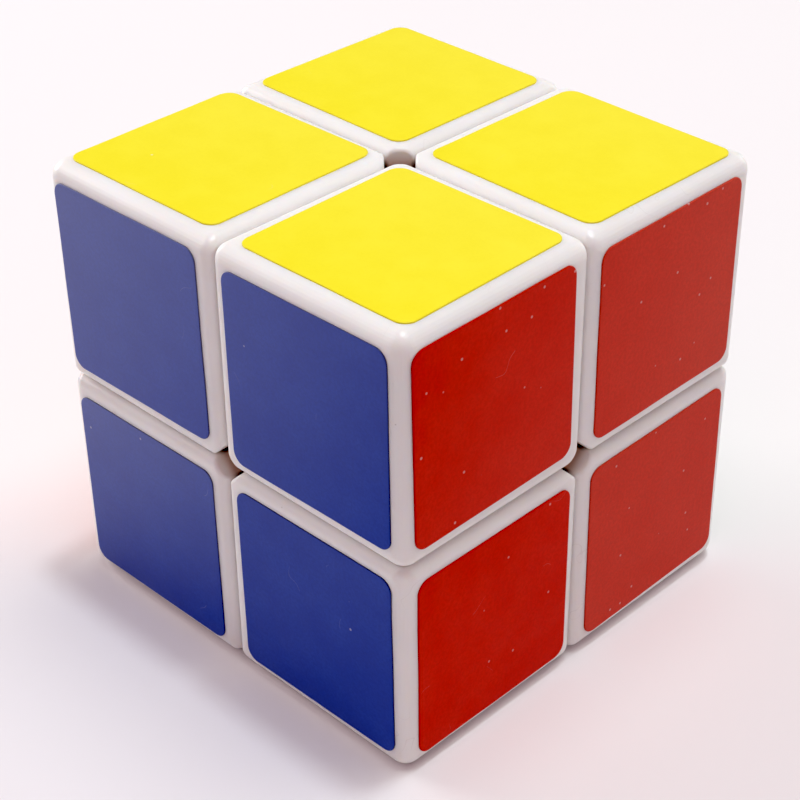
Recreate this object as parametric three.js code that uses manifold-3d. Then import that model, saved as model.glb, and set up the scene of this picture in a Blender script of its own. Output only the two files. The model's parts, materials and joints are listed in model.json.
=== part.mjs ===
// Twisty puzzle cube of order two: eight hollow corner cubies on a hidden sphere-and-core mechanism.
// Units are millimetres. The origin is the middle of the cube, where its three turning axes cross.
// +Z points up (yellow face), -Y to the blue front face, +X to the red right face.
import * as THREE from 'three';
import { ConvexGeometry } from 'three/addons/geometries/ConvexGeometry.js';
import { mergeVertices } from 'three/addons/utils/BufferGeometryUtils.js';
import Module from 'manifold-3d';

const wasm = await Module();
wasm.setup();

// ---- outside of the cube ----
const CUBE_SIZE = 50;
const STICKER_THICKNESS = 0.15;
const STICKER_SIZE = 21.4;
const STICKER_CORNER_RADIUS = 1.4;
const STICKER_CORNER_STEPS = 2;
const CUBIE_OUTER = CUBE_SIZE / 2 - STICKER_THICKNESS;
const SEAM_HALF_GAP = 0.15;
const CUBIE_EDGE_RADIUS = 1.8;
const SEAM_EDGE_RADIUS = 1.2;
// Width the flats cut off both inner walls; four of them make the square hole in each face.
const INNER_FLAT = 1.9;
const EDGE_STEPS = 3;
const WALL = 1.8;
// The cap's three outer walls end below the rounded seam edges.
const CAP_JOINT = CUBIE_OUTER - WALL;

// ---- hidden mechanism: three nested zones between spheres around the middle ----
const CORE_RADIUS = 10.5;
const FOOT_RADIUS = 15;
const WING_RADIUS = 19.5;
const SPHERE_HALF_GAP = 0.25;
const FOOT_CUT = 4.2;
const WING_CUT = 6.6;
const CUT_HALF_GAP = 0.15;
// Flats across a quarter turn of each sphere: larger spheres get more.
const CORE_STEPS = 4;
const FOOT_STEPS = 5;
const WING_STEPS = 6;
const NECK_OVERLAP = 0.6;
// Farther out than any part of the cube, for cuts that run right through.
const BEYOND = 40;

// ---- screws and springs ----
const SCREW_RADIUS = 1.2;
const SCREW_HEAD_RADIUS = 2.7;
const SCREW_HEAD_HEIGHT = 1.5;
const SCREW_HEAD_BEVEL = 0.4;
const SCREW_TIP_HEIGHT = 1;
const SCREW_TIP_RADIUS = 0.4;
const SCREW_STEPS = 12;
const RECESS_LENGTH = 3;
const RECESS_WIDTH = 0.6;
const RECESS_DEPTH = 0.8;
const SCREW_INNER_END = 4.5;
const CENTRE_HEAD_SEAT = 16.2;
const HEAD_GAP = 0.1;
const CORNER_HEAD_SEAT = WING_RADIUS + SPHERE_HALF_GAP + WALL + HEAD_GAP;
const THREAD_HOLE_RADIUS = 1.3;
const CLEARANCE_HOLE_RADIUS = 1.6;
const HOLE_INNER_END = 4;
const SPRING_CUP_RADIUS = 3.1;
const SPRING_CUP_FLOOR = 13;
const SPRING_RADIUS = 2.2;
const SPRING_WIRE_RADIUS = 0.3;
const SPRING_TURNS = 3.5;
const SPRING_STEPS_PER_TURN = 12;
const SPRING_WIRE_STEPS = 3;
const SPRING_END_GAP = 0.02;

// ---- face letters and the side of the cube each one is on ----
const SIDES = {
  u: [0, 0, 1],
  d: [0, 0, -1],
  f: [0, -1, 0],
  b: [0, 1, 0],
  r: [1, 0, 0],
  l: [-1, 0, 0],
};
const CORNERS = ['ufr', 'ufl', 'ubr', 'ubl', 'dfr', 'dfl', 'dbr', 'dbl'];
const TURNING_EDGES = ['uf', 'ur', 'ul', 'ub', 'fr', 'fl', 'df', 'dr', 'br'];
const FIXED_EDGES = ['db', 'dl', 'bl'];
const TURNING_CENTRES = ['u', 'f', 'r'];
const FIXED_CENTRES = ['d', 'b', 'l'];
const FIXED_CORNER = 'dbl';

// ---- materials ----
function plastic(color, roughness) {
  return new THREE.MeshStandardMaterial({ color, roughness, metalness: 0 });
}
const WHITE_PLASTIC = plastic(0xeeebe6, 0.35);
const INNER_PLASTIC = plastic(0x201f1e, 0.5);
const STEEL = new THREE.MeshStandardMaterial({ color: 0xa9adb2, roughness: 0.3, metalness: 1 });
const STICKER_VINYL = {
  u: plastic(0xf8e81f, 0.45),
  d: plastic(0x1b1b1e, 0.45),
  f: plastic(0x2b3a85, 0.45),
  b: plastic(0x1f8f4a, 0.45),
  r: plastic(0xb01a12, 0.45),
  l: plastic(0xe8701a, 0.45),
};

// ---- solids ----
const SAME_POINT = 1e-4;

function toSolid(geometry) {
  const bare = geometry.clone();
  bare.deleteAttribute('normal');
  bare.deleteAttribute('uv');
  const merged = mergeVertices(bare, SAME_POINT);
  const mesh = new wasm.Mesh({
    numProp: 3,
    vertProperties: Float32Array.from(merged.attributes.position.array),
    triVerts: Uint32Array.from(merged.index.array),
  });
  return new wasm.Manifold(mesh);
}

function toGeometry(solid) {
  const mesh = solid.getMesh();
  const geometry = new THREE.BufferGeometry();
  const positions = new Float32Array(mesh.vertProperties);
  geometry.setAttribute('position', new THREE.BufferAttribute(positions, 3));
  geometry.setIndex(new THREE.BufferAttribute(new Uint32Array(mesh.triVerts), 1));
  const flat = geometry.toNonIndexed();
  flat.computeVertexNormals();
  return flat;
}

function unite(solids) {
  return solids.reduce((total, solid) => total.add(solid));
}

// A ball whose facets repeat every quarter turn about all three axes.
function ball(radius, steps) {
  const geometry = new THREE.BoxGeometry(2, 2, 2, steps, steps, steps);
  const position = geometry.attributes.position;
  const point = new THREE.Vector3();
  for (let i = 0; i < position.count; i += 1) {
    point.fromBufferAttribute(position, i);
    point.set(...point.toArray().map((value) => Math.tan((value * Math.PI) / 4)));
    point.setLength(radius);
    position.setXYZ(i, point.x, point.y, point.z);
  }
  return toSolid(geometry);
}

function block(ranges) {
  const sizes = ranges.map(([low, high]) => high - low);
  const middles = ranges.map(([low, high]) => (low + high) / 2);
  const geometry = new THREE.BoxGeometry(...sizes);
  geometry.translate(...middles);
  return toSolid(geometry);
}

// A box that runs from near to far along each signed side of a corner.
function cornerBlock(signs, near, far) {
  return block(signs.map((sign) => (sign > 0 ? [near, far] : [-far, -near])));
}

// Turns something built along +Z to point along the given direction.
function pointAlong(geometry, direction) {
  const up = new THREE.Vector3(0, 0, 1);
  const target = new THREE.Vector3(...direction).normalize();
  const turn = new THREE.Quaternion().setFromUnitVectors(up, target);
  return geometry.applyQuaternion(turn);
}

function rod(radius, from, to, direction) {
  const geometry = new THREE.CylinderGeometry(radius, radius, to - from, SCREW_STEPS);
  geometry.rotateX(Math.PI / 2);
  geometry.translate(0, 0, (from + to) / 2);
  return toSolid(pointAlong(geometry, direction));
}

// The place of a cell in the hidden three-by-three-by-three grid, from its face letters.
function cellOf(letters) {
  const cell = [0, 0, 0];
  for (const letter of letters) {
    SIDES[letter].forEach((value, axis) => {
      cell[axis] += value;
    });
  }
  return cell;
}

// The block of space one cell owns between cut planes; middle spans use their own half width.
function cellBlock(cell, cut, middleHalf) {
  const near = cut + CUT_HALF_GAP;
  return block(cell.map((side) => {
    if (side === 0) return [-middleHalf, middleHalf];
    return side > 0 ? [near, BEYOND] : [-BEYOND, -near];
  }));
}

// ---- hidden mechanism pieces ----
function foot(cell, innerRadius) {
  const outer = ball(FOOT_RADIUS - SPHERE_HALF_GAP, FOOT_STEPS);
  const space = cellBlock(cell, FOOT_CUT, FOOT_CUT - CUT_HALF_GAP);
  return space.intersect(outer).subtract(ball(innerRadius, CORE_STEPS));
}

function neck(cell) {
  const outer = ball(FOOT_RADIUS + SPHERE_HALF_GAP + NECK_OVERLAP, FOOT_STEPS);
  const inner = ball(FOOT_RADIUS - SPHERE_HALF_GAP - NECK_OVERLAP, FOOT_STEPS);
  const space = cellBlock(cell, WING_CUT, FOOT_CUT - CUT_HALF_GAP);
  return space.intersect(outer).subtract(inner);
}

function wing(cell, outerRadius) {
  const inner = ball(FOOT_RADIUS + SPHERE_HALF_GAP, FOOT_STEPS);
  const space = cellBlock(cell, WING_CUT, WING_CUT - CUT_HALF_GAP);
  return space.intersect(ball(outerRadius, WING_STEPS)).subtract(inner);
}

function slidingPiece(cell, innerRadius, outerRadius) {
  return unite([foot(cell, innerRadius), neck(cell), wing(cell, outerRadius)]);
}

const TURNING_INNER_RADIUS = CORE_RADIUS + SPHERE_HALF_GAP;
const FUSED_INNER_RADIUS = CORE_RADIUS - NECK_OVERLAP - SPHERE_HALF_GAP;
const HIDDEN_OUTER_RADIUS = WING_RADIUS - SPHERE_HALF_GAP;

function turningCentre(letter) {
  const direction = SIDES[letter];
  const body = slidingPiece(cellOf(letter), TURNING_INNER_RADIUS, HIDDEN_OUTER_RADIUS);
  const cup = rod(SPRING_CUP_RADIUS, SPRING_CUP_FLOOR, BEYOND, direction);
  const bore = rod(CLEARANCE_HOLE_RADIUS, 0, BEYOND, direction);
  return body.subtract(cup).subtract(bore);
}

// The core ball with its three fixed centres and three fixed edges moulded on.
function core() {
  const fixed = [...FIXED_CENTRES, ...FIXED_EDGES].map((letters) => (
    slidingPiece(cellOf(letters), FUSED_INNER_RADIUS, HIDDEN_OUTER_RADIUS)
  ));
  const hub = unite([ball(CORE_RADIUS - SPHERE_HALF_GAP, CORE_STEPS), ...fixed]);
  const screwDirections = TURNING_CENTRES.map((letter) => SIDES[letter]);
  screwDirections.push(cellOf(FIXED_CORNER));
  return screwDirections.reduce((body, direction) => (
    body.subtract(rod(THREAD_HOLE_RADIUS, HOLE_INNER_END, CORE_RADIUS, direction))
  ), hub);
}

// ---- corner cubies ----
// Directions over a whole sphere, spaced so that each rounded edge has EDGE_STEPS flats.
function roundingDirections() {
  const directions = [];
  for (let i = -EDGE_STEPS; i <= EDGE_STEPS; i += 1) {
    for (let j = -EDGE_STEPS; j <= EDGE_STEPS; j += 1) {
      const rest = EDGE_STEPS - Math.abs(i) - Math.abs(j);
      if (rest < 0) continue;
      for (const k of rest === 0 ? [0] : [-rest, rest]) {
        const steps = [i, j, k].map((step) => Math.sin((step * Math.PI) / (2 * EDGE_STEPS)));
        directions.push(new THREE.Vector3(...steps).normalize());
      }
    }
  }
  return directions;
}

// Balls a cubie is wrapped round: its far corner, an arc at each outer edge's end, inner corners.
function roundingBalls() {
  const near = SEAM_HALF_GAP + SEAM_EDGE_RADIUS;
  const side = CUBIE_OUTER - SEAM_EDGE_RADIUS;
  const far = CUBIE_OUTER - CUBIE_EDGE_RADIUS;
  const spread = CUBIE_EDGE_RADIUS - SEAM_EDGE_RADIUS;
  const seamCentres = [
    [near, near, near],
    [near, near, side],
    [near, side, near],
    [side, near, near],
  ];
  for (let step = 0; step <= EDGE_STEPS; step += 1) {
    const angle = (step * Math.PI) / (2 * EDGE_STEPS);
    const a = far + spread * Math.cos(angle);
    const b = far + spread * Math.sin(angle);
    seamCentres.push([near, a, b], [a, near, b], [a, b, near]);
  }
  const balls = seamCentres.map((centre) => ({ centre, radius: SEAM_EDGE_RADIUS }));
  return [...balls, { centre: [far, far, far], radius: CUBIE_EDGE_RADIUS }];
}

// One solid cubie with rounded edges and flats along its inner edges, in the octant of the signs.
function roundedCubie(signs) {
  const directions = roundingDirections();
  const points = [];
  for (const { centre, radius } of roundingBalls()) {
    for (const direction of directions) {
      const point = new THREE.Vector3(...centre).addScaledVector(direction, radius);
      points.push(point.multiply(new THREE.Vector3(...signs)));
    }
  }
  const flatDistance = (2 * SEAM_HALF_GAP + INNER_FLAT) / Math.SQRT2;
  return [[1, 1, 0], [1, 0, 1], [0, 1, 1]].reduce((cubie, diagonal) => {
    const normal = diagonal.map((value, axis) => value * signs[axis]);
    return cubie.trimByPlane(normal, flatDistance);
  }, toSolid(new ConvexGeometry(points)));
}

function cornerCap(signs) {
  return roundedCubie(signs).subtract(cornerBlock(signs, -BEYOND, CAP_JOINT));
}

// Inner walls, the spherical scoop that rides on the hidden ball, and the stem with its foot.
function cornerBody(letters) {
  const signs = cellOf(letters);
  const scoopRadius = WING_RADIUS + SPHERE_HALF_GAP;
  const outside = roundedCubie(signs).intersect(cornerBlock(signs, 0, CAP_JOINT));
  const scoop = ball(scoopRadius, WING_STEPS);
  const scoopBack = ball(scoopRadius + WALL, WING_STEPS);
  const hollow = cornerBlock(signs, SEAM_HALF_GAP + WALL, BEYOND).subtract(scoopBack);
  const walls = outside.subtract(hollow).subtract(scoop);
  const stem = slidingPiece(signs, TURNING_INNER_RADIUS, scoopRadius + WALL / 2);
  const body = unite([walls, stem]);
  if (letters !== FIXED_CORNER) return body;
  return body.subtract(rod(CLEARANCE_HOLE_RADIUS, 0, BEYOND, signs));
}

// ---- stickers ----
function stickerOutline() {
  const half = STICKER_SIZE / 2;
  const inset = half - STICKER_CORNER_RADIUS;
  const shape = new THREE.Shape();
  shape.moveTo(half, -inset);
  shape.absarc(inset, inset, STICKER_CORNER_RADIUS, 0, Math.PI / 2);
  shape.absarc(-inset, inset, STICKER_CORNER_RADIUS, Math.PI / 2, Math.PI);
  shape.absarc(-inset, -inset, STICKER_CORNER_RADIUS, Math.PI, (3 * Math.PI) / 2);
  shape.absarc(inset, -inset, STICKER_CORNER_RADIUS, (3 * Math.PI) / 2, 2 * Math.PI);
  return shape;
}

function sticker(letters, side) {
  const geometry = new THREE.ExtrudeGeometry(stickerOutline(), {
    depth: STICKER_THICKNESS,
    bevelEnabled: false,
    curveSegments: STICKER_CORNER_STEPS,
  });
  geometry.translate(0, 0, CUBIE_OUTER);
  pointAlong(geometry, SIDES[side]);
  const cubieMiddle = (CUBIE_OUTER + SEAM_HALF_GAP) / 2;
  const shift = cellOf(letters).map((sign, axis) => (SIDES[side][axis] === 0 ? sign * cubieMiddle : 0));
  geometry.translate(...shift);
  return geometry;
}

// ---- screws and springs ----
function screw(direction, headSeat) {
  const profile = [
    [0, SCREW_INNER_END],
    [SCREW_TIP_RADIUS, SCREW_INNER_END],
    [SCREW_RADIUS, SCREW_INNER_END + SCREW_TIP_HEIGHT],
    [SCREW_RADIUS, headSeat],
    [SCREW_HEAD_RADIUS, headSeat],
    [SCREW_HEAD_RADIUS, headSeat + SCREW_HEAD_HEIGHT - SCREW_HEAD_BEVEL],
    [SCREW_HEAD_RADIUS - SCREW_HEAD_BEVEL, headSeat + SCREW_HEAD_HEIGHT],
    [0, headSeat + SCREW_HEAD_HEIGHT],
  ].map(([radius, height]) => new THREE.Vector2(radius, height));
  const turned = new THREE.LatheGeometry(profile, SCREW_STEPS);
  turned.rotateX(Math.PI / 2);
  const depths = [headSeat + SCREW_HEAD_HEIGHT - RECESS_DEPTH, BEYOND];
  const long = [-RECESS_LENGTH / 2, RECESS_LENGTH / 2];
  const short = [-RECESS_WIDTH / 2, RECESS_WIDTH / 2];
  const cross = block([long, short, depths]).add(block([short, long, depths]));
  const upright = toGeometry(toSolid(turned).subtract(cross));
  return pointAlong(upright, direction);
}

class Helix extends THREE.Curve {
  constructor(radius, low, high, turns) {
    super();
    this.radius = radius;
    this.low = low;
    this.high = high;
    this.turns = turns;
  }

  getPoint(t, target = new THREE.Vector3()) {
    const angle = 2 * Math.PI * this.turns * t;
    const height = this.low + (this.high - this.low) * t;
    return target.set(this.radius * Math.cos(angle), this.radius * Math.sin(angle), height);
  }
}

function spring(direction) {
  const low = SPRING_CUP_FLOOR + SPRING_WIRE_RADIUS + SPRING_END_GAP;
  const high = CENTRE_HEAD_SEAT - SPRING_WIRE_RADIUS - SPRING_END_GAP;
  const wire = new THREE.Shape();
  wire.absarc(0, 0, SPRING_WIRE_RADIUS, 0, 2 * Math.PI);
  const geometry = new THREE.ExtrudeGeometry(wire, {
    extrudePath: new Helix(SPRING_RADIUS, low, high, SPRING_TURNS),
    steps: Math.round(SPRING_TURNS * SPRING_STEPS_PER_TURN),
    curveSegments: SPRING_WIRE_STEPS,
  });
  return pointAlong(geometry, direction);
}

// ---- assembly ----
const cube = new THREE.Group();
cube.name = 'twisty_puzzle_cube';

function addMesh(name, geometry, material) {
  const mesh = new THREE.Mesh(geometry, material);
  mesh.name = name;
  cube.add(mesh);
}

addMesh('core', toGeometry(core()), INNER_PLASTIC);
for (const letter of TURNING_CENTRES) {
  addMesh(`centre_${letter}`, toGeometry(turningCentre(letter)), INNER_PLASTIC);
  addMesh(`screw_${letter}`, screw(SIDES[letter], CENTRE_HEAD_SEAT), STEEL);
  addMesh(`spring_${letter}`, spring(SIDES[letter]), STEEL);
}
for (const letters of TURNING_EDGES) {
  const piece = slidingPiece(cellOf(letters), TURNING_INNER_RADIUS, HIDDEN_OUTER_RADIUS);
  addMesh(`edge_${letters}`, toGeometry(piece), INNER_PLASTIC);
}
addMesh(`screw_${FIXED_CORNER}`, screw(cellOf(FIXED_CORNER), CORNER_HEAD_SEAT), STEEL);
for (const letters of CORNERS) {
  addMesh(`corner_${letters}_body`, toGeometry(cornerBody(letters)), WHITE_PLASTIC);
  addMesh(`corner_${letters}_cap`, toGeometry(cornerCap(cellOf(letters))), WHITE_PLASTIC);
  for (const side of letters) {
    addMesh(`sticker_${side}_${letters}`, sticker(letters, side), STICKER_VINYL[side]);
  }
}

export default cube;
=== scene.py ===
import json
import math
import random

import bmesh
import bpy
from mathutils import Matrix, Vector

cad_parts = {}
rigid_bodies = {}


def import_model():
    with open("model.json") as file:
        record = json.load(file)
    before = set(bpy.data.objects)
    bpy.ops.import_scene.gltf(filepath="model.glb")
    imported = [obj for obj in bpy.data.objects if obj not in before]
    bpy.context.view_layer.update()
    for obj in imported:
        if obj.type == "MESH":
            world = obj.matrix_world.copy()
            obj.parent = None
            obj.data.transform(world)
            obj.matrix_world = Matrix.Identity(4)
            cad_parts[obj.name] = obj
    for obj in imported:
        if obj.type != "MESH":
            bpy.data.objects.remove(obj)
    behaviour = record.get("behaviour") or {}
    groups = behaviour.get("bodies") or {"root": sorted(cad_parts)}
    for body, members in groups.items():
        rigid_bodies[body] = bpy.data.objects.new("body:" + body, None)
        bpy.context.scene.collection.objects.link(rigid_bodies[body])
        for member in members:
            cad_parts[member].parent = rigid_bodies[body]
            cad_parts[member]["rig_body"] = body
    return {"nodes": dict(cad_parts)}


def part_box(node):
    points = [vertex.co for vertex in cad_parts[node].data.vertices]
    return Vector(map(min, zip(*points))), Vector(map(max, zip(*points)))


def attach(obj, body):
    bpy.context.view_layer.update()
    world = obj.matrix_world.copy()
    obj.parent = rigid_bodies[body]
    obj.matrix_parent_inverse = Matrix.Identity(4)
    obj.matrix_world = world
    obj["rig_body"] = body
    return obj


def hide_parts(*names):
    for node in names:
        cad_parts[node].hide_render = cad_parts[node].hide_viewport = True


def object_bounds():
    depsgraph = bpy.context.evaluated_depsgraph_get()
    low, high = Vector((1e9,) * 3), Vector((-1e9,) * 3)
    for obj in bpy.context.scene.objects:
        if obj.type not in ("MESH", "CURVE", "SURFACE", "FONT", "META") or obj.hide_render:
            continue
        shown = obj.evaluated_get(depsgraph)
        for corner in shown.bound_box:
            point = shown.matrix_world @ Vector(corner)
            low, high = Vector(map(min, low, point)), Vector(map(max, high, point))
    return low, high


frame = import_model()
CAD_LOW, CAD_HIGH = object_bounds()

# Looks of a twisty puzzle cube of order two. Metres, +Z up, the origin is the middle of the cube.
# +Z is the yellow face, -Y the blue one and +X the red one, as in the record.

MM = 0.001

# ---- camera: stands off the vertical edge between the blue and the red face ----
CAMERA_AZIMUTH = math.radians(45)
CAMERA_ELEVATION = math.radians(32.54)
CAMERA_DISTANCE = 201.0 * MM
CAMERA_AIM = Vector((1.16, -1.49, -2.82)) * MM
CAMERA_ROLL = math.radians(-0.62)
CAMERA_LENS = 85.5
CAMERA_SENSOR = 36

# ---- the six faces and the eight corner cubies, by their face letters ----
SIDES = {
    "u": Vector((0, 0, 1)),
    "d": Vector((0, 0, -1)),
    "f": Vector((0, -1, 0)),
    "b": Vector((0, 1, 0)),
    "r": Vector((1, 0, 0)),
    "l": Vector((-1, 0, 0)),
}
CORNERS = ("ufr", "ufl", "ubr", "ubl", "dfr", "dfl", "dbr", "dbl")

# ---- sizes read from the frame ----
cap_low, cap_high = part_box("corner_ubr_cap")
_, body_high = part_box("corner_ubr_body")
sticker_low, sticker_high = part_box("sticker_u_ubr")
OUTER = cap_high.x
HALF_GAP = cap_low.x
CAP_JOINT = body_high.x
STICKER_SIZE = sticker_high.x - sticker_low.x
STICKER_MIDDLE = (sticker_high.x + sticker_low.x) / 2
STICKER_TOP = sticker_high.z
FLOOR_LEVEL = CAD_LOW.z

# ---- sizes of a cubie: outer and seam edges, and the flat along each inner edge ----
EDGE_RADIUS = 1.8 * MM
SEAM_RADIUS = 1.2 * MM
INNER_FLAT = 1.9 * MM
FLAT_EDGE_RADIUS = 0.45 * MM
EDGE_SEGMENTS = 8
SHARP_STEP = math.radians(25)
SWELL_STEPS = 5
TINY = 1e-7
WELD_DISTANCE = 0.02 * MM
GROWN_WELD = 0.002
FLAT_ANGLE = math.radians(0.6)
SMOOTH_ANGLE = math.radians(40)


# ---- scene helpers ----
def link_object(name, mesh):
    thing = bpy.data.objects.new(name, mesh)
    bpy.context.scene.collection.objects.link(thing)
    return thing


def cell_of(letters):
    """The signs of a piece's place along x, y and z, from its face letters."""
    return sum((SIDES[letter] for letter in letters), Vector())


def body_of_node(node):
    return frame["nodes"][node]["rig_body"]


def make_camera():
    data = bpy.data.cameras.new("camera")
    data.lens = CAMERA_LENS
    data.sensor_width = CAMERA_SENSOR
    data.clip_start = 10 * MM
    camera = bpy.data.objects.new("camera", data)
    bpy.context.scene.collection.objects.link(camera)
    flat = math.cos(CAMERA_ELEVATION)
    place = CAMERA_DISTANCE * Vector((
        flat * math.sin(CAMERA_AZIMUTH),
        -flat * math.cos(CAMERA_AZIMUTH),
        math.sin(CAMERA_ELEVATION),
    ))
    turn = (CAMERA_AIM - place).to_track_quat("-Z", "Y").to_matrix().to_4x4()
    camera.matrix_world = Matrix.Translation(place) @ turn @ Matrix.Rotation(CAMERA_ROLL, 4, "Z")
    bpy.context.scene.camera = camera


# ---- material helpers ----
SPECK_CORE = 0.6
LINE_CORE = 0.3


def new_material(name):
    material = bpy.data.materials.new(name)
    material.use_nodes = True
    return material, material.node_tree, material.node_tree.nodes["Principled BSDF"]


def add_node(tree, kind, inputs=None, **settings):
    """A new node; inputs maps socket names to values or to output sockets to link."""
    node = tree.nodes.new(kind)
    for name, value in settings.items():
        setattr(node, name, value)
    for name, value in (inputs or {}).items():
        socket = node.inputs[name]
        if isinstance(value, bpy.types.NodeSocket):
            tree.links.new(value, socket)
        else:
            socket.default_value = value
    return node


def object_coordinates(tree):
    return add_node(tree, "ShaderNodeTexCoord").outputs["Object"]


def noise(tree, where, scale, detail=2.0, rough=0.5):
    inputs = {"Vector": where, "Scale": scale, "Detail": detail, "Roughness": rough}
    return add_node(tree, "ShaderNodeTexNoise", inputs).outputs["Fac"]


def ramp(tree, value, low, high, from_value=0.0, to_value=1.0):
    """Maps value smoothly from low..high onto from_value..to_value, clamped."""
    inputs = {"Value": value, "From Min": low, "From Max": high, "To Min": from_value, "To Max": to_value}
    return add_node(tree, "ShaderNodeMapRange", inputs, interpolation_type="SMOOTHSTEP").outputs["Result"]


def wire(tree, socket, value):
    """Links an output socket, or sets a number or a colour."""
    if isinstance(value, bpy.types.NodeSocket):
        tree.links.new(value, socket)
    else:
        socket.default_value = (*value, 1) if isinstance(value, tuple) else value


def combine(tree, operation, first, second=0.0):
    node = add_node(tree, "ShaderNodeMath", operation=operation)
    for socket, value in zip(node.inputs, (first, second)):
        wire(tree, socket, value)
    return node.outputs["Value"]


def scaled(tree, value, amount):
    return combine(tree, "MULTIPLY", value, amount)


def mix_colour(tree, amount, first, second):
    node = add_node(tree, "ShaderNodeMix", data_type="RGBA")
    factor, colour_a, colour_b = node.inputs[0], node.inputs[6], node.inputs[7]
    wire(tree, factor, amount)
    wire(tree, colour_a, first)
    wire(tree, colour_b, second)
    return node.outputs[2]


def bump(tree, heights):
    """Chains (height, depth in metres) pairs into one normal."""
    normal = None
    for height, depth in heights:
        inputs = {"Height": height, "Distance": depth}
        if normal is not None:
            inputs["Normal"] = normal
        normal = add_node(tree, "ShaderNodeBump", inputs).outputs["Normal"]
    return normal


def specks(tree, where, spacing, size, share):
    """Sparse round dots: one chance per cell of the given spacing, kept for that share of cells."""
    cells = add_node(tree, "ShaderNodeTexVoronoi", {"Vector": where, "Scale": 1 / spacing}).outputs
    near = ramp(tree, cells["Distance"], size / spacing, SPECK_CORE * size / spacing)
    draw = add_node(tree, "ShaderNodeSeparateColor", {"Color": cells["Color"]}).outputs["Red"]
    return combine(tree, "MULTIPLY", near, combine(tree, "LESS_THAN", draw, share))


def hairlines(tree, where, scale, width, patch_scale, patch_low, patch_high):
    """Short thin curved lines: level lines of a noise, shown only in scattered patches."""
    field = noise(tree, where, scale, detail=1.0)
    away = combine(tree, "ABSOLUTE", combine(tree, "SUBTRACT", field, 0.5))
    line = ramp(tree, away, width, LINE_CORE * width)
    patch = ramp(tree, noise(tree, where, patch_scale, detail=0.0), patch_low, patch_high)
    return combine(tree, "MULTIPLY", line, patch)


def place_in_cube(tree, where):
    """How far a point lies below the nearest outer face, and how far from the nearest middle plane."""
    parts = add_node(tree, "ShaderNodeSeparateXYZ", {"Vector": where}).outputs
    sizes = [combine(tree, "ABSOLUTE", parts[axis]) for axis in "XYZ"]
    reach = combine(tree, "MAXIMUM", combine(tree, "MAXIMUM", sizes[0], sizes[1]), sizes[2])
    least = combine(tree, "MINIMUM", combine(tree, "MINIMUM", sizes[0], sizes[1]), sizes[2])
    return combine(tree, "SUBTRACT", OUTER, reach), least


# ---- surfaces ----
WHITE_LIGHT = (0.875, 0.86, 0.835)
WHITE_DULL = (0.85, 0.83, 0.8)
SCUFF_COLOUR = (0.55, 0.5, 0.46)
GRIME_COLOUR = (0.4, 0.34, 0.28)
# Painted shade: the warm brown of the recesses.
RECESS_SHADE_COLOUR = (0.88, 0.5, 0.3)
# Painted shade: the near-black of the seams.
SEAM_SHADE_COLOUR = (0.03, 0.012, 0.01)
INNER_DARK = (0.012, 0.011, 0.011)
INNER_GREY = (0.022, 0.021, 0.02)
INNER_RUBBED = (0.06, 0.058, 0.055)
STEEL_DARK = (0.38, 0.39, 0.41)
STEEL_LIGHT = (0.56, 0.57, 0.58)
DUST_COLOUR = (0.78, 0.74, 0.72)
# Painted light: the paper's brighter back-left colour and darker right-front colour.
PAPER_LIT_BACK = (0.84, 0.815, 0.82)
PAPER_SHADED_FRONT = (0.82, 0.79, 0.8)
PAPER_CLOUD = (0.8, 0.76, 0.76)
CRUMB_COLOUR = (0.42, 0.34, 0.32)
GRAIN_SHADE = 0.6


def white_plastic():
    """Slightly translucent: scuffed and specked outside, with painted shade: brown in the recesses and
    dark in the seams.
    """
    material, tree, shader = new_material("white_abs")
    where = object_coordinates(tree)
    cloudy = ramp(tree, noise(tree, where, scale=90, detail=3.0), 0.3, 0.7)
    colour = mix_colour(tree, cloudy, WHITE_DULL, WHITE_LIGHT)
    scuff = hairlines(tree, where, scale=260, width=0.004,
                      patch_scale=150, patch_low=0.62, patch_high=0.7)
    colour = mix_colour(tree, scaled(tree, scuff, 0.18), colour, SCUFF_COLOUR)
    grime = specks(tree, where, spacing=2.6 * MM, size=0.09 * MM, share=0.2)
    colour = mix_colour(tree, scaled(tree, grime, 0.45), colour, GRIME_COLOUR)
    depth, off_seam = place_in_cube(tree, where)
    # Painted shade: faces turn warm brown the deeper they lie below the outer faces, where shade falls in
    # the recesses.
    recess_shade = scaled(tree, ramp(tree, depth, 0.8 * MM, 2.6 * MM), 0.95)
    colour = mix_colour(tree, recess_shade, colour, RECESS_SHADE_COLOUR)
    # Painted shade: near-black where a face lies deep inside and close to a middle plane, standing in for
    # the shade in the seams.
    deep = ramp(tree, depth, 1.1 * MM, 2.2 * MM)
    seam_shade = combine(tree, "MULTIPLY", deep, ramp(tree, off_seam, 0.4 * MM, 0.16 * MM))
    colour = mix_colour(tree, seam_shade, colour, SEAM_SHADE_COLOUR)
    tree.links.new(colour, shader.inputs["Base Color"])
    patchy = ramp(tree, noise(tree, where, scale=320, detail=4.0), 0.25, 0.75, 0.31, 0.43)
    rough = combine(tree, "ADD", patchy, scaled(tree, scuff, 0.2))
    tree.links.new(rough, shader.inputs["Roughness"])
    soft = noise(tree, where, scale=160, detail=1.0)
    fine = noise(tree, where, scale=5200)
    normal = bump(tree, [(soft, 0.05 * MM), (fine, 0.0016 * MM)])
    tree.links.new(normal, shader.inputs["Normal"])
    shader.inputs["IOR"].default_value = 1.52
    shader.inputs["Subsurface Weight"].default_value = 0.45
    shader.inputs["Subsurface Radius"].default_value = (1.0, 0.75, 0.55)
    shader.inputs["Subsurface Scale"].default_value = 2.0 * MM
    return material


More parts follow.
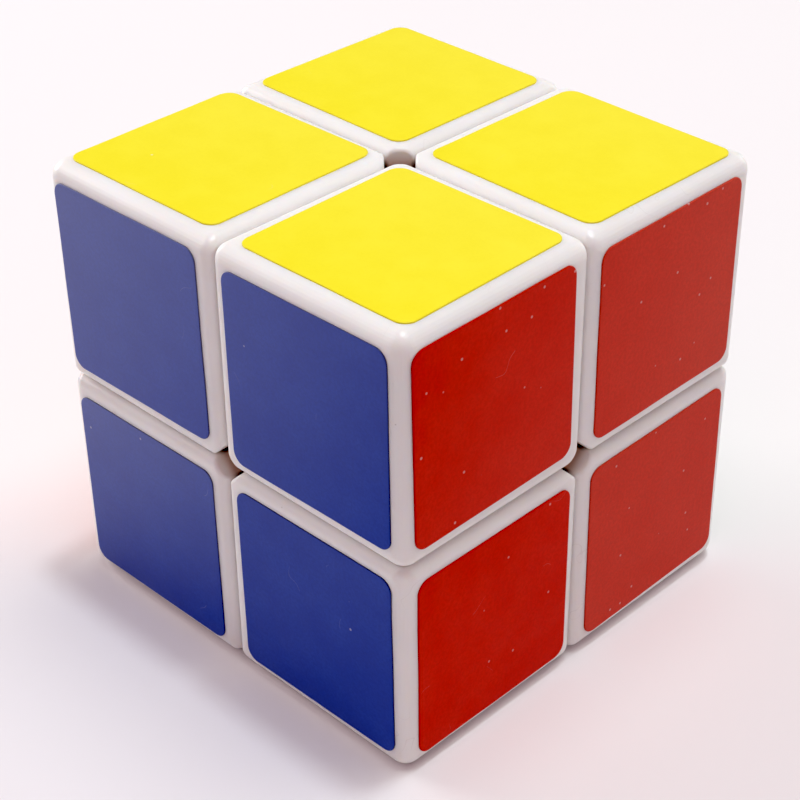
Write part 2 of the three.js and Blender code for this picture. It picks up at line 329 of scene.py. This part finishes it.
def inner_plastic():
    material, tree, shader = new_material("inner_abs")
    where = object_coordinates(tree)
    cloudy = ramp(tree, noise(tree, where, scale=140, detail=4.0), 0.3, 0.7)
    colour = mix_colour(tree, cloudy, INNER_DARK, INNER_GREY)
    rubbed = ramp(tree, noise(tree, where, scale=420, detail=5.0, rough=0.65), 0.55, 0.75)
    colour = mix_colour(tree, scaled(tree, rubbed, 0.35), colour, INNER_RUBBED)
    tree.links.new(colour, shader.inputs["Base Color"])
    tree.links.new(ramp(tree, rubbed, 0.0, 1.0, 0.75, 0.6), shader.inputs["Roughness"])
    normal = bump(tree, [(noise(tree, where, scale=3000, detail=3.0), 0.006 * MM)])
    tree.links.new(normal, shader.inputs["Normal"])
    shader.inputs["Specular IOR Level"].default_value = 0.25
    return material


def steel():
    material, tree, shader = new_material("bright_steel")
    where = object_coordinates(tree)
    cloudy = noise(tree, where, scale=700, detail=4.0)
    colour = mix_colour(tree, ramp(tree, cloudy, 0.35, 0.65), STEEL_DARK, STEEL_LIGHT)
    tree.links.new(colour, shader.inputs["Base Color"])
    tree.links.new(ramp(tree, cloudy, 0.3, 0.7, 0.24, 0.42), shader.inputs["Roughness"])
    normal = bump(tree, [(noise(tree, where, scale=2500), 0.008 * MM)])
    tree.links.new(normal, shader.inputs["Normal"])
    shader.inputs["Metallic"].default_value = 1.0
    return material


def vinyl(slot, colour, faded, rim, sheen_colour, grain, dust, gloss):
    """Satin vinyl: mottling, grain, orange peel, dust, hair scratches, a painted sheen and a darker cut
    rim that is partly painted shade.
    """
    material, tree, shader = new_material(f"{slot}_film")
    where = object_coordinates(tree)
    mottled = ramp(tree, noise(tree, where, scale=260, detail=5.0, rough=0.6), 0.3, 0.72)
    body = mix_colour(tree, mottled, colour, faded)
    grainy = ramp(tree, noise(tree, where, scale=2600, detail=3.0, rough=0.7), 0.35, 0.65, 0.0, grain)
    body = mix_colour(tree, grainy, body, tuple(GRAIN_SHADE * value for value in colour))
    # A darker colour on the rolled rim: partly the cut edge's own colour, partly painted shade along the
    # edge.
    rim_cut_and_shade = add_node(tree, "ShaderNodeAttribute", attribute_name="rim").outputs["Fac"]
    body = mix_colour(tree, ramp(tree, rim_cut_and_shade, 0.0, 1.0), body, rim)
    # Painted sheen: a whitish mix, lighter towards one side, standing in for the sheen and reflections on
    # the film.
    painted_sheen = add_node(tree, "ShaderNodeAttribute", attribute_name="painted_sheen").outputs["Fac"]
    body = mix_colour(tree, painted_sheen, body, sheen_colour)
    dots = specks(tree, where, spacing=2.2 * MM, size=0.18 * MM, share=dust)
    fluff = hairlines(tree, where, scale=190, width=0.0024,
                      patch_scale=260, patch_low=0.77, patch_high=0.8)
    marks = combine(tree, "MAXIMUM", scaled(tree, dots, 0.4), scaled(tree, fluff, 0.12))
    body = mix_colour(tree, marks, body, DUST_COLOUR)
    tree.links.new(body, shader.inputs["Base Color"])
    patchy = ramp(tree, noise(tree, where, scale=500, detail=3.0), 0.3, 0.7, 0.33, 0.38)
    rough = combine(tree, "ADD", patchy, scaled(tree, marks, 0.3))
    tree.links.new(rough, shader.inputs["Roughness"])
    ripple = add_node(tree, "ShaderNodeTexWave", {
        "Vector": where, "Scale": 260, "Distortion": 6.0, "Detail": 1.0, "Detail Scale": 0.4},
        wave_type="RINGS", rings_direction="SPHERICAL").outputs["Fac"]
    peel = noise(tree, where, scale=900)
    fine = noise(tree, where, scale=6500)
    normal = bump(tree, [(ripple, 0.0012 * MM), (peel, 0.003 * MM), (fine, 0.0022 * MM)])
    tree.links.new(normal, shader.inputs["Normal"])
    shader.inputs["Specular IOR Level"].default_value = gloss
    return material


def paper():
    """Matt studio paper with painted light: a little darker and slightly warmer towards the right front,
    brighter towards the back left, and a few crumbs.
    """
    material, tree, shader = new_material("studio_paper")
    where = object_coordinates(tree)
    cloudy = ramp(tree, noise(tree, where, scale=9, detail=4.0), 0.3, 0.7)
    # Painted light: the paper gets brighter towards the back left and darker towards the right front, as
    # the light falls.
    parts = add_node(tree, "ShaderNodeSeparateXYZ", {"Vector": where}).outputs
    away = combine(tree, "SUBTRACT", scaled(tree, parts["Y"], 0.8), scaled(tree, parts["X"], 0.6))
    colour = mix_colour(tree, ramp(tree, away, -0.14, 0.16), PAPER_SHADED_FRONT, PAPER_LIT_BACK)
    colour = mix_colour(tree, scaled(tree, cloudy, 0.1), colour, PAPER_CLOUD)
    crumbs = specks(tree, where, spacing=14 * MM, size=0.22 * MM, share=0.35)
    colour = mix_colour(tree, scaled(tree, crumbs, 0.5), colour, CRUMB_COLOUR)
    tree.links.new(colour, shader.inputs["Base Color"])
    tree.links.new(ramp(tree, cloudy, 0.0, 1.0, 0.7, 0.8), shader.inputs["Roughness"])
    normal = bump(tree, [(noise(tree, where, scale=700, detail=3.0), 0.01 * MM)])
    tree.links.new(normal, shader.inputs["Normal"])
    shader.inputs["Specular IOR Level"].default_value = 0.2
    return material


WHITE = white_plastic()
INNER = inner_plastic()
STEEL = steel()
# Per side: body colours, a darker rim colour that is partly painted shade, and the whitish colour of the
# painted sheen.
VINYL_FINISH = {
    "u": {
        "slot": "yellow_vinyl",
        "colour": (0.87, 0.765, 0.02),
        "faded": (0.89, 0.79, 0.028),
        "rim": (0.85, 0.75, 0.03),
        "sheen_colour": (0.9, 0.88, 0.8),
        "grain": 0.04,
        "dust": 0.03,
        "gloss": 0.3,
    },
    "d": {
        "slot": "black_vinyl",
        "colour": (0.01, 0.01, 0.011),
        "faded": (0.016, 0.016, 0.018),
        "rim": (0.004, 0.004, 0.005),
        "sheen_colour": (0.8, 0.8, 0.8),
        "grain": 0.2,
        "dust": 0.16,
        "gloss": 0.4,
    },
    "f": {
        "slot": "blue_vinyl",
        "colour": (0.005, 0.033, 0.33),
        "faded": (0.01, 0.045, 0.365),
        "rim": (0.004, 0.008, 0.11),
        "sheen_colour": (0.82, 0.88, 0.95),
        "grain": 0.36,
        "dust": 0.06,
        "gloss": 0.2,
    },
    "b": {
        "slot": "green_vinyl",
        "colour": (0.009, 0.25, 0.055),
        "faded": (0.013, 0.28, 0.07),
        "rim": (0.005, 0.12, 0.03),
        "sheen_colour": (0.8, 0.85, 0.8),
        "grain": 0.2,
        "dust": 0.1,
        "gloss": 0.3,
    },
    "r": {
        "slot": "red_vinyl",
        "colour": (0.64, 0.018, 0.009),
        "faded": (0.67, 0.025, 0.013),
        "rim": (0.42, 0.008, 0.004),
        "sheen_colour": (0.9, 0.85, 0.6),
        "grain": 0.32,
        "dust": 0.4,
        "gloss": 0.06,
    },
    "l": {
        "slot": "orange_vinyl",
        "colour": (0.8, 0.15, 0.007),
        "faded": (0.83, 0.18, 0.012),
        "rim": (0.4, 0.06, 0.005),
        "sheen_colour": (0.9, 0.85, 0.7),
        "grain": 0.2,
        "dust": 0.1,
        "gloss": 0.25,
    },
}
VINYL = {side: vinyl(**finish) for side, finish in VINYL_FINISH.items()}


# ---- solids ----
def box_mesh(low, high):
    bm = bmesh.new()
    bmesh.ops.create_cube(bm, size=1)
    for vertex in bm.verts:
        for axis in range(3):
            vertex.co[axis] = high[axis] if vertex.co[axis] > 0 else low[axis]
    return bm


def rounded_cubie():
    """One cubie in the positive octant: rounded edges, and a soft-edged flat along each inner edge."""
    inset = FLAT_EDGE_RADIUS
    bm = box_mesh((HALF_GAP + inset,) * 3, (OUTER - inset,) * 3)
    near = OUTER - inset - TINY
    weight = bm.edges.layers.float.new("bevel_weight_edge")
    for edge in bm.edges:
        outer_planes = sum(all(v.co[axis] > near for v in edge.verts) for axis in range(3))
        edge[weight] = 1.0 if outer_planes == 2 else (SEAM_RADIUS - inset) / (EDGE_RADIUS - inset)
    cubie = link_object("cubie", closed_mesh("cubie", bm))
    rounding = cubie.modifiers.new("rounding", "BEVEL")
    rounding.limit_method = "WEIGHT"
    rounding.width = EDGE_RADIUS - inset
    rounding.segments = EDGE_SEGMENTS
    rounding.use_clamp_overlap = False
    bake(cubie)
    cut_flats(cubie.data, (2 * HALF_GAP + INNER_FLAT) / math.sqrt(2) + inset)
    swell(cubie.data, inset)
    return cubie


def cut_flats(mesh, distance):
    """Cuts a flat along each of the three inner edges, that far from the axes, and closes the cuts."""
    bm = bmesh.new()
    bm.from_mesh(mesh)
    for diagonal in ((1, 1, 0), (1, 0, 1), (0, 1, 1)):
        normal = Vector(diagonal).normalized()
        everything = bm.verts[:] + bm.edges[:] + bm.faces[:]
        cut = bmesh.ops.bisect_plane(bm, geom=everything, dist=TINY, plane_co=normal * distance,
                                     plane_no=normal, clear_inner=True)
        rim = [part for part in cut["geom_cut"] if isinstance(part, bmesh.types.BMEdge)]
        bmesh.ops.holes_fill(bm, edges=rim, sides=0)
    bmesh.ops.remove_doubles(bm, verts=bm.verts, dist=WELD_DISTANCE)
    bm.to_mesh(mesh)
    bm.free()


def swell(mesh, amount):
    """Grows a convex mesh outwards, which also rounds its sharp edges. Worked in millimetres."""
    bm = bmesh.new()
    bm.from_mesh(mesh)
    bm.normal_update()
    grown = bmesh.new()
    for vertex in bm.verts:
        for face in vertex.link_faces:
            grown.verts.new((vertex.co + face.normal * amount) / MM)
    for edge in bm.edges:
        if edge.calc_face_angle() < SHARP_STEP:
            continue
        first, second = (face.normal for face in edge.link_faces)
        for step in range(1, SWELL_STEPS):
            normal = first.slerp(second, step / SWELL_STEPS)
            for vertex in edge.verts:
                grown.verts.new((vertex.co + normal * amount) / MM)
    bm.free()
    bmesh.ops.remove_doubles(grown, verts=grown.verts, dist=GROWN_WELD)
    hull = bmesh.ops.convex_hull(grown, input=grown.verts)
    inside = [part for part in hull["geom_interior"] if isinstance(part, bmesh.types.BMVert)]
    bmesh.ops.delete(grown, geom=inside, context="VERTS")
    bmesh.ops.dissolve_limit(grown, angle_limit=FLAT_ANGLE, verts=grown.verts, edges=grown.edges)
    bmesh.ops.scale(grown, vec=(MM,) * 3, verts=grown.verts)
    bmesh.ops.recalc_face_normals(grown, faces=grown.faces)
    grown.to_mesh(mesh)
    grown.free()


def to_mesh(name, bm):
    mesh = bpy.data.meshes.new(name)
    bm.to_mesh(mesh)
    bm.free()
    return mesh


def closed_mesh(name, bm):
    """A mesh whose faces all point outwards."""
    bmesh.ops.recalc_face_normals(bm, faces=bm.faces)
    return to_mesh(name, bm)


def cut_away(thing, cutter):
    """Cuts thing with cutter for good, and removes the cutter."""
    modifier = thing.modifiers.new("cut", "BOOLEAN")
    modifier.operation = "DIFFERENCE"
    modifier.object = cutter
    modifier.solver = "MANIFOLD"
    bake(thing)
    bpy.data.objects.remove(cutter)


def bake(thing):
    """Applies the thing's modifiers to its mesh."""
    evaluated = thing.evaluated_get(bpy.context.evaluated_depsgraph_get())
    mesh = bpy.data.meshes.new_from_object(evaluated)
    thing.modifiers.clear()
    thing.data = mesh


def finish_surface(thing):
    """Smooth shading, sharp past SMOOTH_ANGLE, with normals that keep flat faces flat."""
    for polygon in thing.data.polygons:
        polygon.use_smooth = True
    thing.data.set_sharp_from_angle(angle=SMOOTH_ANGLE)
    weighted = thing.modifiers.new("weighted", "WEIGHTED_NORMAL")
    weighted.keep_sharp = True
    weighted.mode = "FACE_AREA"


def reflected_copy(template, name, signs):
    """A copy of a positive octant mesh in the octant of the given signs."""
    bm = bmesh.new()
    bm.from_mesh(template.data)
    for vertex in bm.verts:
        vertex.co = Vector(c * s for c, s in zip(vertex.co, signs))
    if signs[0] * signs[1] * signs[2] < 0:
        bmesh.ops.reverse_faces(bm, faces=bm.faces)
    return link_object(name, to_mesh(name, bm))


def stand_for(thing, node, material):
    thing.data.materials.clear()
    thing.data.materials.append(material)
    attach(thing, body_of_node(node))
    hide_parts(node)


def build_caps():
    template = rounded_cubie()
    inside = closed_mesh("cap_cut", box_mesh((-OUTER,) * 3, (CAP_JOINT,) * 3))
    cut_away(template, link_object("cap_cut", inside))
    for letters in CORNERS:
        cap = reflected_copy(template, f"shell_{letters}", cell_of(letters))
        finish_surface(cap)
        stand_for(cap, f"corner_{letters}_cap", WHITE)
    bpy.data.objects.remove(template)


# ---- stickers ----
STICKER_CORNER_RADIUS = 1.4 * MM
STICKER_STEPS_PER_CORNER = 10
STICKER_STEPS_PER_SIDE = 14
CUT_WOBBLE = 0.02 * MM
SLOW_WAVE = 2.2
FAST_WAVE = 5.1
RIM_ROLL = 0.06 * MM
RIM_STEPS = 3
STICKER_SINK = 0.02 * MM


def sticker_outline(half, radius, rng):
    """Points anticlockwise round a rounded square whose sides are cut very slightly unevenly."""
    wobble = [rng.uniform(-1, 1) for _ in range(8)]

    def uneven(side, along):
        slow = wobble[side] * math.sin(SLOW_WAVE * along)
        return CUT_WOBBLE * (slow + wobble[side + 4] * math.sin(FAST_WAVE * along + 1))

    points = []
    straight = half - radius
    for side in range(4):
        turn = Matrix.Rotation(side * math.pi / 2, 2)
        for step in range(STICKER_STEPS_PER_SIDE):
            along = -1 + 2 * step / STICKER_STEPS_PER_SIDE
            points.append(turn @ Vector((half + uneven(side, along), along * straight)))
        for step in range(STICKER_STEPS_PER_CORNER):
            angle = step / STICKER_STEPS_PER_CORNER * math.pi / 2
            round_corner = radius * Vector((math.cos(angle), math.sin(angle)))
            points.append(turn @ (Vector((straight, straight)) + round_corner))
    return points


def sticker_mesh(name, rng):
    """A thin rounded square with a rolled upper rim; local z is out of the face, 0 at its top."""
    half = STICKER_SIZE / 2
    bm = bmesh.new()
    thick = STICKER_TOP - OUTER + STICKER_SINK
    rings = [(0.0, -thick, 1.0), (0.0, -RIM_ROLL, 1.0)]
    for step in range(1, RIM_STEPS + 1):
        angle = step / RIM_STEPS * math.pi / 2
        inset, height = RIM_ROLL * (1 - math.cos(angle)), RIM_ROLL * (math.sin(angle) - 1)
        rings.append((inset, height, 1 - step / RIM_STEPS))
    rings.append((3 * RIM_ROLL, 0.0, 0.0))
    outline = sticker_outline(half, STICKER_CORNER_RADIUS, rng)
    rim = bm.verts.layers.float.new("rim")
    loops = []
    for inset, height, share in rings:
        scale = (half - inset) / half
        loop = [bm.verts.new((p.x * scale, p.y * scale, height)) for p in outline]
        for vertex in loop:
            vertex[rim] = share
        loops.append(loop)
    count = len(outline)
    for low, high in zip(loops, loops[1:]):
        for i in range(count):
            j = (i + 1) % count
            bm.faces.new((low[i], low[j], high[j], high[i]))
    bm.faces.new(loops[-1])
    bm.faces.new(reversed(loops[0]))
    return closed_mesh(name, bm)


FACE_UP = {
    "u": Vector((0, 1, 0)),
    "d": Vector((0, -1, 0)),
}


def face_axes(side):
    """Across and up directions of a face, seen from outside."""
    out = SIDES[side]
    up = FACE_UP.get(side, Vector((0, 0, 1)))
    return up.cross(out), up, out


# How the seen stickers were laid: shift across and up in millimetres, turn in degrees.
STICKER_SLIPS = {
    "u_ubl": (0.1, 0.0, -0.5),
    "u_ubr": (0.1, 0.1, -0.7),
    "u_ufl": (-0.3, 0.3, 0.7),
    "u_ufr": (0.0, 0.2, 0.8),
    "f_ufl": (-0.1, 0.0, 0.7),
    "f_ufr": (0.0, -0.1, 0.5),
    "f_dfl": (0.0, -0.2, 0.4),
    "f_dfr": (0.1, 0.1, 0.5),
    "r_ubr": (-0.4, 0.0, 0.5),
    "r_ufr": (-0.4, 0.2, 1.0),
    "r_dbr": (-0.2, 0.1, 1.0),
    "r_dfr": (0.1, -0.1, 0.2),
}
# Painted sheen: its whitish share in the middle of a sticker, and its growth across and up.
STICKER_SHEEN = {
    "f_ufl": (0.108, -0.025, 0.03),
    "f_ufr": (0.045, -0.025, 0.025),
    "f_dfl": (0.065, -0.03, 0.05),
    "f_dfr": (0.01, -0.01, 0.015),
    "r_ubr": (0.048, 0.012, 0.0),
    "r_ufr": (0.011, 0.008, -0.004),
    "r_dbr": (0.045, 0.0, 0.0),
    "r_dfr": (0.0, 0.0, 0.0),
}
USUAL_SHEEN = (0.02, 0.0, 0.01)
# The rest are laid within these bounds of shift in millimetres and turn in degrees.
LOOSE_SHIFT = 0.2
LOOSE_TURN = 0.8
FIRST_SEED = 100


# The painted sheen's share at each point: its middle value plus its growth across and up.
def lay_sheen(mesh, middle, rise_across, rise_up):
    painted_sheen = mesh.attributes.new("painted_sheen", "FLOAT", "POINT")
    for vertex, value in zip(mesh.vertices, painted_sheen.data):
        value.value = middle + (rise_across * vertex.co.x + rise_up * vertex.co.y) * 2 / STICKER_SIZE


def build_stickers():
    for order, (letters, side) in enumerate((c, s) for c in CORNERS for s in c):
        rng = random.Random(FIRST_SEED + order)
        chance = [rng.uniform(-most, most) for most in (LOOSE_SHIFT, LOOSE_SHIFT, LOOSE_TURN)]
        shift, lift, turn = STICKER_SLIPS.get(f"{side}_{letters}", chance)
        across, up, out = face_axes(side)
        place = cell_of(letters) * STICKER_MIDDLE
        place -= out * place.dot(out)
        place += (across * shift + up * lift) * MM
        name = f"film_{side}_{letters}"
        mesh = sticker_mesh(name, rng)
        lay_sheen(mesh, *STICKER_SHEEN.get(f"{side}_{letters}", USUAL_SHEEN))
        axes = Matrix((across, up, out)).transposed().to_4x4()
        tilt = Matrix.Rotation(math.radians(turn), 4, "Z")
        mesh.transform(Matrix.Translation(place + out * STICKER_TOP) @ axes @ tilt)
        film = link_object(name, mesh)
        finish_surface(film)
        stand_for(film, f"sticker_{side}_{letters}", VINYL[side])


# ---- nodes that keep their CAD shape ----
def finish_cad_nodes():
    for name, node in frame["nodes"].items():
        if node.hide_render:
            continue
        if name.startswith(("screw", "spring")):
            material = STEEL
        elif name.startswith("corner"):
            material = WHITE
        else:
            material = INNER
        node.data.materials.clear()
        node.data.materials.append(material)


# ---- floor, room and light ----
FLOOR_HALF = 1.5
FLOOR_DROP = 0.01 * MM
ROOM_COLOUR = (1.0, 0.68, 0.77)
ROOM_STRENGTH = 0.19
BACKDROP_COLOUR = (0.8, 0.76, 0.77)
BLACK_LEVEL = 0.02
# Each light's place, diameter, power in watts and colour.
LIGHTS = {
    "lamp": ((0.04, 0.085, 1.0), 0.08, 2.7, (0.8, 0.92, 1.0)),
    "softbox": ((0.12, 0.22, 1.2), 0.8, 7.6, (0.97, 1.0, 0.96)),
    "front_light": ((0.6, -0.6, 0.9), 0.8, 2.2, (1.0, 0.7, 0.76)),
    "left_light": ((-0.94, -0.2, 0.33), 0.6, 6.6, (1.0, 0.99, 0.99)),
    "back_light": ((0.2, 0.94, 0.34), 0.6, 2.3, (0.92, 1.0, 0.95)),
}


def build_floor():
    bm = bmesh.new()
    bmesh.ops.create_grid(bm, x_segments=8, y_segments=8, size=FLOOR_HALF)
    floor = link_object("studio_floor", to_mesh("studio_floor", bm))
    floor.location.z = FLOOR_LEVEL - FLOOR_DROP
    floor.data.materials.append(paper())


def area_light(name, place, size, power, colour):
    data = bpy.data.lights.new(name, "AREA")
    data.shape = "DISK"
    data.size = size
    data.energy = power
    data.color = colour
    light = bpy.data.objects.new(name, data)
    bpy.context.scene.collection.objects.link(light)
    light.location = place
    light.rotation_mode = "QUATERNION"
    light.rotation_quaternion = (-Vector(place)).to_track_quat("-Z", "Y")
    light.visible_camera = False


def build_room():
    """A dim pinkish room that lights the cube, and a plain pale backdrop past the end of the floor."""
    world = bpy.data.worlds.new("studio")
    world.use_nodes = True
    bpy.context.scene.world = world
    tree = world.node_tree
    dim = tree.nodes["Background"]
    dim.inputs["Color"].default_value = (*ROOM_COLOUR, 1)
    dim.inputs["Strength"].default_value = ROOM_STRENGTH
    pale = add_node(tree, "ShaderNodeBackground", {"Color": (*BACKDROP_COLOUR, 1), "Strength": 1.0})
    seen = add_node(tree, "ShaderNodeLightPath").outputs["Is Camera Ray"]
    mixed = add_node(tree, "ShaderNodeMixShader", {"Fac": seen})
    tree.links.new(dim.outputs["Background"], mixed.inputs[1])
    tree.links.new(pale.outputs["Background"], mixed.inputs[2])
    tree.links.new(mixed.outputs["Shader"], tree.nodes["World Output"].inputs["Surface"])


def build_lights():
    """A lamp and a softbox overhead, and soft lights in front, left and behind."""
    for name, (place, size, power, colour) in LIGHTS.items():
        area_light(name, place, size, power, colour)


def set_film():
    """Plain view with slightly deeper blacks."""
    view = bpy.context.scene.view_settings
    view.view_transform = "Standard"
    view.use_curve_mapping = True
    view.curve_mapping.black_level = (BLACK_LEVEL,) * 3
    view.curve_mapping.update()


make_camera()
build_caps()
build_stickers()
finish_cad_nodes()
build_floor()
build_room()
build_lights()
set_film()
